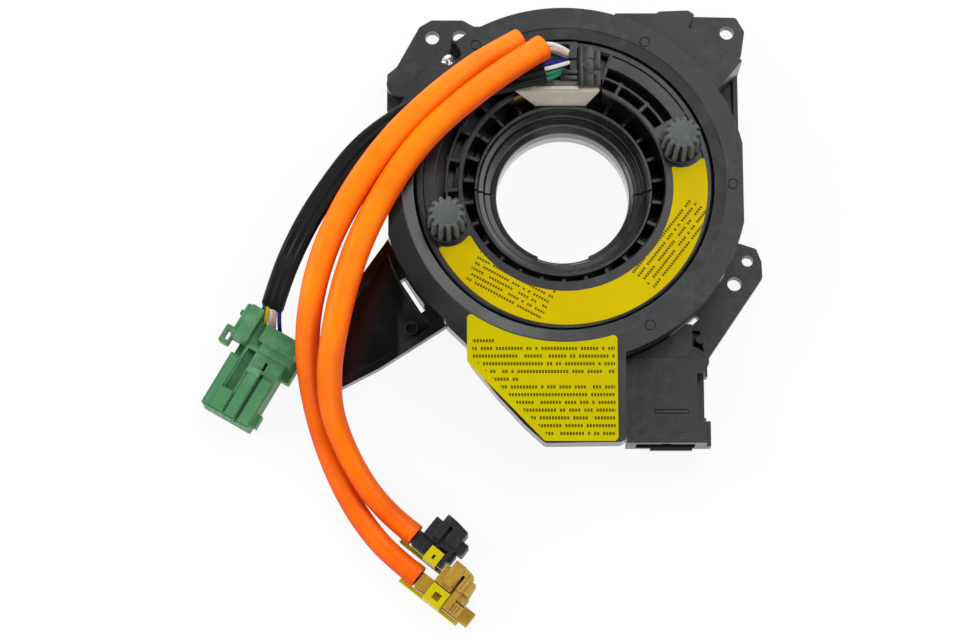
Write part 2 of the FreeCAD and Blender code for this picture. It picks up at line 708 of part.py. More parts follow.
def flat_ribbon():
    """The wound ribbon as half circles whose radius grows by a fixed step."""
    half_turns = 2 * ribbon_turns + 1
    step = (ribbon_outer_radius - ribbon_inner_radius) / (half_turns - 1)
    inner_edges = spiral(ribbon_inner_radius, step, half_turns)
    outer_edges = spiral(ribbon_inner_radius + ribbon_thickness, step, half_turns)
    first_in, last_in = inner_edges[0].Vertexes[0].Point, inner_edges[-1].Vertexes[-1].Point
    first_out, last_out = outer_edges[0].Vertexes[0].Point, outer_edges[-1].Vertexes[-1].Point
    caps = [Part.LineSegment(last_in, last_out).toShape(), Part.LineSegment(first_out, first_in).toShape()]
    edges = Part.sortEdges(inner_edges + outer_edges + caps)[0]
    strip = outward(Part.Face(Part.Wire(edges)).extrude(vec(0, 0, ribbon_height)))
    strip.rotate(vec(0, 0), vec(0, 0, 1), 90)
    strip.translate(vec(0, 0, floor_top_z + 0.6))
    return strip


def spiral(start_radius, step, half_turns):
    edges = []
    side = 1
    x = start_radius
    radius = start_radius
    for index in range(half_turns):
        centre = x - side * radius
        end = centre - side * radius
        top = vec(centre, side * radius)
        edges.append(Part.Arc(vec(x, 0), top, vec(end, 0)).toShape())
        x = end
        side = -side
        radius += step
    return edges


def route_path(points):
    """Straight runs joined by tangent arcs that are as large as the runs allow."""
    loop = [vec(*point) for point in points]
    edges = []
    radii = []
    here = loop[0]
    for before, point, after in zip(loop, loop[1:], loop[2:]):
        back = before - point
        ahead = after - point
        turn = math.pi - back.getAngle(ahead)
        reach = arc_share * min(back.Length, ahead.Length)
        radius = reach / math.tan(turn / 2)
        radii.append(radius)
        back.normalize()
        ahead.normalize()
        start = point + back * reach
        end = point + ahead * reach
        middle = (back + ahead).normalize()
        top = point + middle * (radius / math.cos(turn / 2) - radius)
        edges.append(Part.LineSegment(here, start).toShape())
        edges.append(Part.Arc(start, top, end).toShape())
        here = end
    edges.append(Part.LineSegment(here, loop[-1]).toShape())
    return Part.Wire(edges), radii


def tube(name, points, diameter):
    """A round cord along a route, with its smallest bend printed."""
    path, radii = route_path(points)
    direction = vec(*points[1]) - vec(*points[0])
    section = Part.Wire(Part.makeCircle(diameter / 2, vec(*points[0]), direction))
    solid = path.makePipeShell([section], True, False)
    expected = math.pi * diameter ** 2 / 4 * path.Length
    smallest = min(radii) if radii else 0
    print(name, "length", round(path.Length, 1), "smallest radius", round(smallest, 1),
          "volume over section times length", round(solid.Volume / expected, 4))
    return solid


# The routes are chosen points: over the turning rotor the cords stay above the cover, and they
# come down to the table only outside the reach of the cover, the socket and the bracket.
orange_route_a = [
    (-15.3, 50.6, 35.8), (-25.8, 44.2, 37.8), (-37.0, 35.3, 40.2), (-48.4, 25.0, 41.2),
    (-59.2, 13.9, 40.8), (-68.5, 1.8, 39.8), (-76.5, -11.0, 38.2), (-83.1, -25.0, 36.8),
    (-87.4, -40.4, 35.9), (-89.8, -53.8, 25.9), (-89.6, -65.8, 15.0), (-86.9, -80.3, 6.2),
    (-81.7, -95.5, 4.5), (-74.5, -110.3, 4.5), (-65.9, -122.5, 4.8), (-57.366, -130.703, 5.4),
    (-50.309, -136.257, 5.4),
]
orange_route_b = [
    (-7.3, 47.0, 38.6), (-18.8, 38.9, 41.4), (-31.7, 28.9, 42.2), (-45.2, 17.2, 42.0),
    (-55.1, 5.6, 41.0), (-63.8, -8.1, 39.4), (-71.4, -23.5, 37.8), (-76.4, -39.0, 36.7),
    (-79.7, -54.4, 35.7), (-82.0, -66.3, 26.1), (-81.6, -79.3, 16.6), (-76.3, -92.5, 11.6),
    (-70.2, -103.3, 9.8), (-65.0, -109.9, 8.4), (-58.554, -116.097, 5.4), (-51.556, -121.724, 5.4),
]
loom_route = [
    (-6.6, 39.3, 33.7), (-22.4, 35.6, 33.7), (-38.3, 31.6, 33.7), (-50.6, 26.4, 33.7),
    (-61.8, 19.6, 33.8), (-72.2, 10.7, 34.0), (-80.8, -1.1, 34.2), (-88.7, -13.6, 34.4),
    (-95.0, -26.6, 33.6), (-99.4, -34.6, 24.5), (-102.6, -40.8, 14.5),
]


def wires_from(name, tip, inner, offsets, ends):
    """Thin wires that leave a sleeve's end square to it and run to their places in a piece."""
    out = (vec(*tip) - vec(*inner)).normalize()
    side = vec(0, 0, 1).cross(out).normalize()
    up = out.cross(side)
    wires = []
    for (across, height), end in zip(offsets, ends):
        start = vec(*tip) + side * across + up * height
        points = [tuple(start), tuple(start + out * wire_stay), end]
        wires.append(tube(name, points, wire_diameter))
    return Part.makeCompound(wires)


def sleeve_a_leads():
    tip, inner = orange_route_a[:2]
    ends = [(clamp_notch_x - wire_end_gap, 48.4, 30.6), (clamp_notch_x - wire_end_gap, 47.8, 27.9)]
    return wires_from("lead a", tip, inner, pair_offsets, ends)


def sleeve_b_leads():
    tip, inner = orange_route_b[:2]
    ends = [(clamp_notch_x - wire_end_gap, 46.6, 30.0), (clamp_notch_x - wire_end_gap, 46.0, 27.1)]
    return wires_from("lead b", tip, inner, pair_offsets, ends)


def loom_clamp_leads():
    tip, inner = loom_route[:2]
    ends = [(clamp_lip_x - wire_end_gap, y, z) for z in (29.2, 26.9) for y in (44.2, 42.2)]
    return wires_from("loom lead", tip, inner, bundle_offsets, ends)


def loom_plug_leads():
    tip, inner = loom_route[-1], loom_route[-2]
    back = vec(*green_origin) - polar(green_length + wire_end_gap, green_angle)
    ends = []
    for height in (10.6, 8.0):
        for across in (10.4, 7.2):
            place = back + polar(across, green_angle + 90)
            ends.append((place.x, place.y, height))
    return wires_from("plug lead", tip, inner, bundle_offsets, ends)


def green_housing():
    """The loom's connector body, mating face first along its own X axis."""
    width = green_width
    length = green_length
    deck = green_deck_z
    body = rounded_prism([(-length, 0), (0, 0), (0, width), (-length, width)], 0.8, 0.3, deck)
    body = body.cut(box(-length - 1, -21.0, -1, 3.6, 5.0, 20))
    body = body.cut(box(-25.2, -9.0, 4.6, 7.8, deck - 2.4, deck + 1))
    rear = rounded_prism([(-35.2, 6.6), (-28.8, 6.6), (-28.8, 20.6), (-35.2, 20.6)], 0.6, 0.3, deck + 2.8)
    step = rounded_prism([(-29.6, 8.2), (-25.8, 8.2), (-25.8, 20.6), (-29.6, 20.6)], 0.5, 2.5, deck + 1.5)
    latch = rounded_prism([(-29.6, 18.0), (-21.5, 18.0), (-21.5, 22.4), (-29.6, 22.4)], 0.6, 0.3, 6.0)
    lip = box(-20.0, -0.7, 1.0, 3.6, deck - 0.5, deck + 0.8)
    pad = box(-8.4, -0.7, 3.5, 8.2, deck - 0.5, deck + 1.4)
    rail = box(-19.8, -0.7, 9.4, 13.0, deck - 0.5, deck + 1.9)
    tee = box(-19.8, -17.4, 8.6, 13.4, deck - 0.5, deck + 2.3)
    edge_rail = box(-17.8, -0.7, 14.6, 18.6, deck - 0.5, deck + 1.0)
    nub = box(-6.8, -2.0, width - 0.5, width + 1.7, 3.0, 8.0)
    body = body.fuse([rear, step, latch, lip, pad, rail, tee, edge_rail, nub])
    body = body.cut(box(-19.0, 1.0, 13.3, 14.3, deck - 2.2, deck + 1))
    body = body.cut(box(-23.6, -20.3, 12.6, 13.7, 5.5, deck + 3))
    for index in range(5):
        for row in range(2):
            y = 2.6 + cavity_pitch * index
            z = 3.2 + 5.0 * row
            body = body.cut(box(-6.0, 1.0, y - 0.8, y + 0.8, z - 0.8, z + 0.8))
    return placed(body, green_origin, green_angle)


def green_contacts():
    """Small metal sleeves at the bottom of the plug's holes."""
    sleeves = []
    for index in range(5):
        y = 2.6 + cavity_pitch * index
        sleeves.append(box(-6.0, -2.5, y - 0.7, y + 0.7, 2.5, 3.9))
    return placed(Part.makeCompound(sleeves), green_origin, green_angle)


def green_retainer():
    """The side lock of the loom's connector, with its latch loop."""
    body = rounded_prism([(-39.0, -3.6), (-25.6, -3.6), (-25.6, 3.4), (-39.0, 3.4)], 0.8, 5.0, 15.4)
    body = body.cut(box(-40, -25, -4.5, -1.4, 12.0, 17.0))
    loop = rounded_prism([(-29.4, -6.8), (-22.6, -6.8), (-22.6, -3.0), (-29.4, -3.0)], 0.6, 5.0, 9.4)
    loop = loop.cut(box(-27.6, -24.2, -5.6, -3.7, 4, 11))
    tooth = box(-36.4, -34.6, -5.0, -3.4, 6.0, 9.0)
    return placed(body.fuse([loop, tooth]), green_origin, green_angle)


def squib_body(shell_start, block_start, nose_start, nose_end, tab_start, tab_end, channel, extra):
    """A right-angled igniter plug: shell at the lead's end, body and stepped nose across it."""
    shell = box(shell_start, block_start + 4, squib_side, 6.9, seat_z, lock_underside_z - 0.5)
    block = box(block_start, nose_end, 6.8, 14.1, seat_z, squib_height - 0.2)
    main_outline = [(nose_start, squib_side), (nose_end, squib_side), (nose_end, 13.6), (nose_start, 13.6)]
    main = rounded_prism(main_outline, 0.5, seat_z, squib_height)
    nose = rounded_prism([(nose_start, 9.0), (nose_end, 9.0), (nose_end, 16.2), (nose_start + 4, 17.0),
                          (nose_start, 17.1)], 0.5, seat_z + 1, squib_height + 0.8)
    body = shell.fuse([block, main, nose] + extra)
    start, end, depth = channel
    body = body.cut(box(start, end, 6.6, 14.2, squib_height - depth, squib_height + 1))
    body = body.cut(box(nose_end - 1.5, nose_end - 1.1, 9.4, 18.0, squib_height + 0.4, squib_height + 1))
    body = body.cut(box(tab_start - lock_travel - running_gap, tab_end + 0.4, 0, 6.7, lock_underside_z - 0.4,
                        squib_height + 1))
    for offset in contact_offsets:
        start = nose_start + offset
        body = body.cut(box(start, start + 1.6, 12.0, 18.0, 5.2, 6.8))
    return body


def squib_contacts(nose_start):
    """The two sockets for the igniter's pins."""
    sleeves = []
    for offset in contact_offsets:
        start = nose_start + offset + 0.2
        sleeves.append(box(start, start + 1.2, 12.0, 16.5, 5.4, 6.6))
    return Part.makeCompound(sleeves)


def squib_lock(length, tab_start, tab_end, tab_depth):
    """The yellow slide that locks a squib plug: a side strip and a windowed top tab."""
    far = squib_side - 0.4
    near = far - 1.3
    strip = box(0.0, length, near, far, seat_z, lock_strip_top_z)
    wall = box(tab_start, tab_end, near, far, seat_z, lock_underside_z + 1.2)
    tab = box(tab_start, tab_end, near, tab_depth, lock_underside_z, lock_underside_z + 1.2)
    window = box(tab_start + 2.4, tab_end - 2.0, squib_side + 0.2, tab_depth - 2.2, 0, squib_height)
    return strip.fuse([wall, tab]).cut(window)


def black_squib():
    """The black plug's body with its flap, front block and two ridges."""
    flap_outline = [(16.5, 8.4), (20.6, 8.4), (20.6, 12.9), (16.5, 12.9)]
    flap = rounded_prism(flap_outline, 0.5, 0.8, squib_height - 0.8)
    front_outline = [(16.5, 4.2), (19.0, 4.2), (19.0, 8.0), (16.5, 8.0)]
    front = rounded_prism(front_outline, 0.5, 0.8, squib_height - 2.0)
    ridge = box(8.6, 10.9, 8.0, 15.6, squib_height - 0.5, squib_height + 1.3)
    back_outline = [(12.9, 9.4), (17.2, 9.4), (17.2, 15.2), (12.9, 15.2)]
    back = rounded_prism(back_outline, 0.5, squib_height - 0.5, squib_height + 1.2)
    return squib_body(3.9, 5.3, 8.1, 17.6, 10.4, 15.8, (11.2, 12.6, 2.0), [flap, front, ridge, back])


def tan_squib():
    """The tan plug's body with its wedge, ribbed block, foot and raised panel."""
    wedge = prism([(17.4, 14.4), (18.3, 9.4), (23.2, 9.4), (22.6, 14.4)], 0.8, squib_height + 0.3)
    middle_outline = [(19.6, 6.0), (23.6, 6.0), (23.6, 9.6), (19.6, 9.6)]
    middle = rounded_prism(middle_outline, 0.4, 0.8, squib_height - 1.4)
    block_outline = [(19.6, squib_side), (24.4, squib_side), (24.4, 5.4), (19.6, 5.4)]
    block = rounded_prism(block_outline, 0.5, seat_z, squib_height - 0.6)
    foot = box(24.0, 28.4, squib_side, 6.8, seat_z, 5.0)
    panel_outline = [(12.8, 8.0), (16.4, 8.0), (16.4, 15.8), (12.8, 15.8)]
    panel = rounded_prism(panel_outline, 0.5, squib_height - 0.5, squib_height + 1.2)
    extra = [wedge, middle, block, foot, panel]
    body = squib_body(5.6, 10.3, 12.2, 20.5, 10.6, 17.8, (17.1, 18.2, 3.0), extra)
    for index in range(3):
        start = 20.6 + 1.1 * index
        body = body.cut(box(start, start + 0.4, squib_side - 1, 4.6, squib_height - 1.0, squib_height))
    return body


def main():
    print("cords")
    save("base_housing", base_housing())
    save("top_cover", top_cover())
    save("plug_socket", plug_socket())
    save("socket_pins", socket_pins())
    save("contact_strips", contact_strips())
    save("outer_terminal", outer_terminal())
    save("slip_film", slip_film())
    save("cover_screw", cover_screw())
    save("casing_label", casing_label())
    save("rotor_face", rotor_face())
    save("hub_sleeve", hub_sleeve())
    save("retaining_ring", retaining_ring())
    save("inner_terminal", inner_terminal())
    save("drive_dog_right", drive_dog(dog_angle))
    save("drive_dog_left", drive_dog(dog_angle + 180))
    save("rotor_label", rotor_label())
    save("lead_clamp_base", lead_clamp_base())
    save("lead_clamp_cap", lead_clamp_cap())
    save("flat_ribbon", flat_ribbon())
    save("orange_sleeve_a", tube("orange sleeve a", orange_route_a, sleeve_diameter))
    save("orange_sleeve_b", tube("orange sleeve b", orange_route_b, sleeve_diameter))
    save("black_sleeve", tube("black sleeve", loom_route, loom_diameter))
    save("sleeve_a_leads", sleeve_a_leads())
    save("sleeve_b_leads", sleeve_b_leads())
    save("loom_clamp_leads", loom_clamp_leads())
    save("loom_plug_leads", loom_plug_leads())
    save("green_housing", green_housing())
    save("green_contacts", green_contacts())
    save("green_retainer", green_retainer())
    black_place = (black_squib_origin, black_squib_angle)
    save("black_squib_body", placed(black_squib(), *black_place))
    save("black_squib_contacts", placed(squib_contacts(8.1), *black_place))
    save("black_squib_lock", placed(squib_lock(17.9, 10.4, 15.8, 5.3), *black_place))
    tan_place = (tan_squib_origin, tan_squib_angle)
    save("tan_squib_body", placed(tan_squib(), *tan_place))
    save("tan_squib_contacts", placed(squib_contacts(12.2), *tan_place))
    save("tan_squib_lock", placed(squib_lock(25.2, 10.6, 17.8, 6.3), *tan_place))


main()
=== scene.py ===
import math

import bmesh
import bpy
from mathutils import Matrix, Vector


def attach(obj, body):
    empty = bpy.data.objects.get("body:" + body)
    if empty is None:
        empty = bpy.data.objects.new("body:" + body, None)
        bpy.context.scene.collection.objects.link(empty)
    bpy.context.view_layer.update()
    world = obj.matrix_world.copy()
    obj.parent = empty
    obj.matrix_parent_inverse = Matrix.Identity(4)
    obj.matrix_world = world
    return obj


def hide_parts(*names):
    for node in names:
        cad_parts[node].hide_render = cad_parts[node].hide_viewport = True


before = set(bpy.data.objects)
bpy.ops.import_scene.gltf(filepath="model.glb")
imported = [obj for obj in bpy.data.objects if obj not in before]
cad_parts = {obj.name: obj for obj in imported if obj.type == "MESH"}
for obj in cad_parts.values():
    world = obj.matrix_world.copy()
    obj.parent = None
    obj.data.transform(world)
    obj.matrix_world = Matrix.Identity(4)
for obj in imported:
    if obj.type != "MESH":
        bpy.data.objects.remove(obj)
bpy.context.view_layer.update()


# The view: the clock spring lies on its back on a white table, and the camera
# looks down on it from the driver's side, a little below the turning axis.
camera_place = (-0.0295, -0.2720, 0.9935)
camera_tilt = 13.0
focal_length = 106.9
sensor_width = 36.0


def put(name, shape):
    """A new object of the scene from a mesh, a curve, a lamp or a lens."""
    piece = bpy.data.objects.new(name, shape)
    bpy.context.scene.collection.objects.link(piece)
    return piece


lens = bpy.data.cameras.new("camera")
lens.lens = focal_length
lens.sensor_width = sensor_width
camera = put("camera", lens)
camera.location = camera_place
camera.rotation_euler = (math.radians(camera_tilt), 0.0, 0.0)
bpy.context.scene.camera = camera
bpy.context.scene.view_settings.view_transform = "Standard"


# The table: a plain white surface that the part lies on. It is white for the
# camera and in reflections, and keeps a trace of the part's shadow.
table_depth = -0.0004
table_size = 4.0
table_tone = (0.86, 0.86, 0.86, 1.0)
white = (1.0, 1.0, 1.0, 1.0)
white_share = 0.9


class Link:
    """A shader socket that Python sums can use; each sum adds a Math node."""

    def __init__(self, tree, socket):
        self.tree = tree
        self.socket = socket

    def __add__(self, other):
        return self.tree.maths("ADD", self, other)

    __radd__ = __add__

    def __sub__(self, other):
        return self.tree.maths("SUBTRACT", self, other)

    def __rsub__(self, other):
        return self.tree.maths("SUBTRACT", other, self)

    def __mul__(self, other):
        return self.tree.maths("MULTIPLY", self, other)

    __rmul__ = __mul__

    def __truediv__(self, other):
        return self.tree.maths("DIVIDE", self, other)

    def __gt__(self, other):
        return self.tree.maths("GREATER_THAN", self, other)

    def __lt__(self, other):
        return self.tree.maths("LESS_THAN", self, other)

    def floor(self):
        return self.tree.maths("FLOOR", self)

    def fraction(self):
        return self.tree.maths("FRACT", self)

    def clamped(self):
        return self.tree.add("Clamp", {}, {"Value": self, "Min": 0.0, "Max": 1.0})


class Shading:
    """A node tree, to which one method adds every kind of node."""

    def __init__(self, tree):
        self.nodes = tree.nodes
        self.links = tree.links

    def add(self, kind, settings, inputs, output=0):
        node = self.nodes.new("ShaderNode" + kind)
        for name, value in settings.items():
            setattr(node, name, value)
        for name, value in inputs.items():
            self.join(node.inputs[name], value)
        return Link(self, node.outputs[output])

    def join(self, socket, value):
        if isinstance(value, Link):
            self.links.new(value.socket, socket)
        else:
            socket.default_value = value

    def maths(self, operation, first, second=0.0):
        return self.add("Math", {"operation": operation}, {0: first, 1: second})

    def parts(self, vector):
        split = self.add("SeparateXYZ", {}, {"Vector": vector})
        return [Link(self, output) for output in split.socket.node.outputs]


class Finish(Shading):
    """A node material that is built from sums of its sockets."""

    def __init__(self, name):
        self.material = bpy.data.materials.new(name)
        self.material.use_nodes = True
        super().__init__(self.material.node_tree)
        self.shader = self.nodes["Principled BSDF"]

    def set(self, **values):
        for name, value in values.items():
            self.join(self.shader.inputs[name.replace("_", " ")], value)

    def places(self):
        return self.add("TexCoord", {}, {}, "Object")

    def noise(self, vector, scale, detail=3.0, roughness=0.5):
        inputs = {"Vector": vector, "Scale": scale, "Detail": detail, "Roughness": roughness}
        return self.add("TexNoise", {}, inputs)

    def blend(self, share, first, second):
        return self.add("Mix", {"data_type": "RGBA"}, {0: share, 6: first, 7: second}, 2)

    def bump(self, height, depth, strength, normal=None):
        inputs = {"Height": height, "Distance": depth, "Strength": strength}
        if normal is not None:
            inputs["Normal"] = normal
        return self.add("Bump", {}, inputs)


def put_mesh(name, shape, smooth_below=0.0):
    """An object from a bmesh, smooth across edges that turn less than an angle in degrees."""
    mesh = bpy.data.meshes.new(name)
    bmesh.ops.recalc_face_normals(shape, faces=shape.faces)
    if smooth_below > 0:
        for face in shape.faces:
            face.smooth = True
        for edge in shape.edges:
            edge.smooth = edge.calc_face_angle(0.0) < math.radians(smooth_below)
    shape.to_mesh(mesh)
    shape.free()
    return put(name, mesh)


def table_finish():
    """White for the camera and in reflections, matt and nearly white for the light."""
    finish = Finish("white_table")
    rays = finish.add("LightPath", {}, {}, "Is Camera Ray")
    glossy = finish.add("LightPath", {}, {}, "Is Glossy Ray")
    seen = (rays + glossy).clamped()
    finish.set(Base_Color=table_tone, Roughness=0.9, Specular_IOR_Level=0.1)
    glow = finish.add("Emission", {}, {"Color": white, "Strength": 1.0})
    lit = Link(finish, finish.shader.outputs[0])
    mixed = finish.add("MixShader", {}, {0: seen * white_share, 1: lit, 2: glow})
    finish.join(finish.nodes["Material Output"].inputs["Surface"], mixed)
    return finish.material


table_shape = bmesh.new()
bmesh.ops.create_grid(table_shape, x_segments=1, y_segments=1, size=table_size / 2)
bmesh.ops.translate(table_shape, verts=table_shape.verts, vec=(0.0, 0.0, table_depth))
table = put_mesh("table", table_shape)
table.data.materials.append(table_finish())


# The light: four wide lamps round the part, as in a light tent, and a surround
# that is pale at the sides and dark overhead. The part's shadows are faint.
part_middle = Vector((-0.03, -0.03, 0.0))
tent_lamps = [
    ("tent_right", (0.42, 0.38, 0.95), 0.80, 7.5),
    ("tent_left", (-0.95, 0.10, 0.60), 0.60, 6.0),
    ("tent_front", (0.10, -0.95, 0.55), 0.60, 3.5),
    ("tent_back", (-0.20, 1.00, 0.45), 0.60, 3.5),
]
surround_levels = {"From Min": 0.35, "From Max": 0.92, "To Min": 0.80, "To Max": 0.08}

for lamp_name, lamp_place, lamp_size, lamp_power in tent_lamps:
    area = bpy.data.lights.new(lamp_name, "AREA")
    area.size = lamp_size
    area.energy = lamp_power
    lamp = put(lamp_name, area)
    lamp.location = lamp_place
    way = part_middle - Vector(lamp_place)
    lamp.rotation_euler = way.to_track_quat("-Z", "Y").to_euler()

surround = bpy.data.worlds.new("surround")
surround.use_nodes = True
bpy.context.scene.world = surround
sky = Shading(surround.node_tree)
upward = sky.parts(sky.add("TexCoord", {}, {}, "Generated"))[2]
level = sky.add("MapRange", {}, {"Value": upward, **surround_levels})
background = sky.nodes["Background"]
sky.join(background.inputs["Color"], white)
sky.join(background.inputs["Strength"],
         sky.maths("MAXIMUM", level, sky.add("LightPath", {}, {}, "Is Camera Ray")))


# The casing: lower housing, cover and harness socket, moulded in black glass-filled
# nylon with a fine spark texture. Its corners carry a painted highlight, paler where they catch
# the light.
cloud_scale = 38.0
smear_scale = 210.0
corner_gain = 3.0
highlight_least = 0.4
highlight_smear = 0.7
dust_gain = 5.0
dust_share = 0.28
cloud_sheen = 0.45
spark_sheen = 0.12
least_roughness = 0.08
grain_depth = 0.00006
painted_light_share = 0.8
bracket_right = -0.056
bracket_top = -0.012
bracket_slope = 300.0
smooth_from = 0.012
smooth_span = 0.060
smooth_lean = 0.5


def colour(red, green, blue):
    """A colour from screen values of 0 to 255."""
    parts = [value / 255 for value in (red, green, blue)]
    parts = [p / 12.92 if p <= 0.04045 else ((p + 0.055) / 1.055) ** 2.4 for p in parts]
    return (*parts, 1.0)


def moulded_finish(name, base, highlight_and_dust, roughness, grain=2600.0, corner=0.0004,
                   wall_gloss=0.2, shine=0.5, painted_light=None):
    """Moulded plastic: spark grain, cloudy sheen, a painted highlight on soft corners, dust, and
    a piece's own painted light.
    """
    finish = Finish(name)
    place = finish.places()
    cloud = finish.noise(place, cloud_scale, detail=4.0, roughness=0.6)
    smear = finish.noise(place, smear_scale, detail=4.0, roughness=0.7)
    spark = finish.noise(place, grain, detail=2.0)
    soft = finish.add("Bevel", {"samples": 4}, {"Radius": corner})
    flat = finish.add("NewGeometry", {}, {}, "Normal")
    turn = finish.add("VectorMath", {"operation": "DOT_PRODUCT"}, {0: soft, 1: flat}, "Value")
    # Painted highlight: corners are paler where the rounded normal turns from the face's own, as
    # if they catch the light.
    corner_highlight = ((1.0 - turn) * corner_gain).clamped() * (highlight_least + smear * highlight_smear)
    dust = ((smear + cloud - 1.0) * dust_gain).clamped() * dust_share
    tone = finish.blend((corner_highlight + dust).clamped(), base, highlight_and_dust)
    wall = 1.0 - finish.maths("ABSOLUTE", finish.parts(flat)[2])
    sheen = roughness - wall * wall_gloss
    sheen = sheen + (cloud - 0.5) * cloud_sheen + (spark - 0.5) * spark_sheen
    # A piece's painted light and shade, where it has them: a painted tone over a mask, with more
    # polish there.
    if painted_light is not None:
        share, painted_tone, polish = painted_light(*finish.parts(place))
        tone = finish.blend(share * painted_light_share, tone, painted_tone)
        sheen = sheen - share * polish
    finish.set(
        Base_Color=tone,
        Roughness=finish.maths("MAXIMUM", sheen, least_roughness),
        Specular_IOR_Level=shine,
        Normal=finish.bump(spark, grain_depth, 0.5, soft),
    )
    return finish.material


def paint(finish, *names):
    """Gives nodes of the CAD model their finish."""
    for name in names:
        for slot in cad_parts[name].material_slots:
            slot.material = finish


def housing_painted_shade(x, y, z):
    """The bracket at the left is polished, and painted darker as a painted shade."""
    left = ((bracket_right - x) * bracket_slope).clamped()
    low = ((bracket_top - y) * bracket_slope).clamped()
    return left * low, colour(4, 4, 4), 0.42


def cover_painted_shade(x, y, z):
    """The cover is smoother towards its lower left, and painted darker there as a painted shade.
    """
    share = ((smooth_from - x - y * smooth_lean) / smooth_span).clamped()
    return share, colour(6, 6, 6), 0.34


# A base tone, the tone of the painted corner highlight and of dust, and a roughness.
casing_skin = (colour(20, 20, 21), colour(74, 74, 75), 0.50)
paint(moulded_finish("casing_nylon", *casing_skin), "plug_socket")
paint(moulded_finish("cover_nylon", *casing_skin, painted_light=cover_painted_shade), "top_cover")
paint(moulded_finish("housing_nylon", *casing_skin, painted_light=housing_painted_shade), "base_housing")


# The metal pieces: the cover's zinc-plated steel screw, and the tin-plated pins,
# strips and contacts, which are stamped from brass and pressed into their seats.
plating_shade = (0.75, 0.75, 0.74)
plating_cloud_scale = 400.0
plating_cloud_sheen = 0.15
scratch_scale = 2600.0
scratch_depth = 0.00004


def plated_finish(name, base, roughness):
    """Plated metal with cloudy tones and fine scratches."""
    finish = Finish(name)
    place = finish.places()
    cloud = finish.noise(place, plating_cloud_scale, detail=4.0)
    scratch = finish.noise(place, scratch_scale)
    dull = [tone * shade for tone, shade in zip(base, plating_shade)]
    finish.set(
        Base_Color=finish.blend(cloud, base, (*dull, 1.0)),
        Metallic=1.0,
        Roughness=roughness + cloud * plating_cloud_sheen,
        Normal=finish.bump(scratch, scratch_depth, 0.4),
    )
    return finish.material


zinc = plated_finish("zinc_plate", colour(226, 226, 222), 0.22)
tin = plated_finish("tin_plate", colour(206, 200, 186), 0.28)
paint(zinc, "cover_screw")
paint(tin, "socket_pins", "contact_strips")
paint(tin, "green_contacts", "black_squib_contacts", "tan_squib_contacts")


# The ribbon and the film under it: a flat cable of copper strips between two clear
# films, wound loosely inside, and a milky low-friction ring on the floor.
patch_scale = 55.0
patch_start = 0.45
patch_gain = 1.4
patch_sheen = 0.14
patch_height = 2.0
skin_scale = 900.0
skin_roughness = 0.30
skin_sheen = 0.06
skin_depth = 0.00012


def soft_finish(name, bright, shade, painted_shade=None):
    """Soft plastic: a satin skin in two tones, with a piece's own painted shade if it has one.
    """
    finish = Finish(name)
    place = finish.places()
    patches = finish.noise(place, patch_scale, detail=2.0)
    fine = finish.noise(place, skin_scale)
    depth = (patches - patch_start) * patch_gain
    if painted_shade is None:
        tone = finish.blend(depth.clamped(), bright, shade)
    else:
        # The piece's painted shade, near the table and on its flanks, over the patches' tones.
        low_shade, flank_shade, flank_shade_tone = painted_shade(finish, place)
        tone = finish.blend((depth + low_shade).clamped(), bright, shade)
        tone = finish.blend(flank_shade, tone, flank_shade_tone)
    finish.set(
        Base_Color=tone,
        Roughness=skin_roughness + patches * patch_sheen + fine * skin_sheen,
        Specular_IOR_Level=0.15,
        Normal=finish.bump(fine + patches * patch_height, skin_depth, 0.35),
    )
    return finish.material


paint(soft_finish("ribbon_film", colour(196, 150, 96), colour(176, 128, 74)), "flat_ribbon")
paint(soft_finish("slip_sheet", colour(214, 214, 208), colour(196, 196, 190)), "slip_film")


# The rotor: the ring that turns with the wheel, its funnel and the ring below it,
# moulded in black acetal, which is smoother than the casing and shines more.
# The ribbon's outer terminal, down in the casing, is of the funnel's plastic.
pale_ring_top = 0.0055
pale_ring_slope = 4000.0
bore_wall = 0.0245


def bore_painted_reflection(x, y, z):
    """The lowest part of the bore's wall is painted as a pale ring, a painted reflection of the
    white table.
    """
    inside = (x * x + y * y) < bore_wall * bore_wall
    low = ((pale_ring_top - z) * pale_ring_slope).clamped()
    return inside * low, colour(228, 226, 218), 0.0


rotor_acetal = moulded_finish("rotor_acetal", colour(15, 15, 16), colour(66, 66, 67), 0.34,
                              grain=3200.0)
hub_acetal = moulded_finish("hub_acetal", colour(8, 8, 8), colour(58, 58, 58), 0.26,
                            grain=4200.0, painted_light=bore_painted_reflection)
paint(rotor_acetal, "rotor_face", "lead_clamp_base")
paint(hub_acetal, "hub_sleeve", "retaining_ring", "outer_terminal")


# The terminal block at twelve o'clock, where the ribbon's inner end is welded to the leads.
# Its pale tone is a painted reflection on its front face, and its back is a painted shade.
terminal_ledge_back = 0.0355


def terminal_painted_shade(x, y, z):
    """The part of the block behind its ledge is painted dark, a painted shade."""
    return y > terminal_ledge_back, colour(14, 14, 14), 0.0


terminal_painted_light = moulded_finish("terminal_painted_light", colour(186, 179, 164),
                                    colour(214, 210, 200), 0.36, grain=2200.0,
                                    painted_light=terminal_painted_shade)
paint(terminal_painted_light, "inner_terminal")


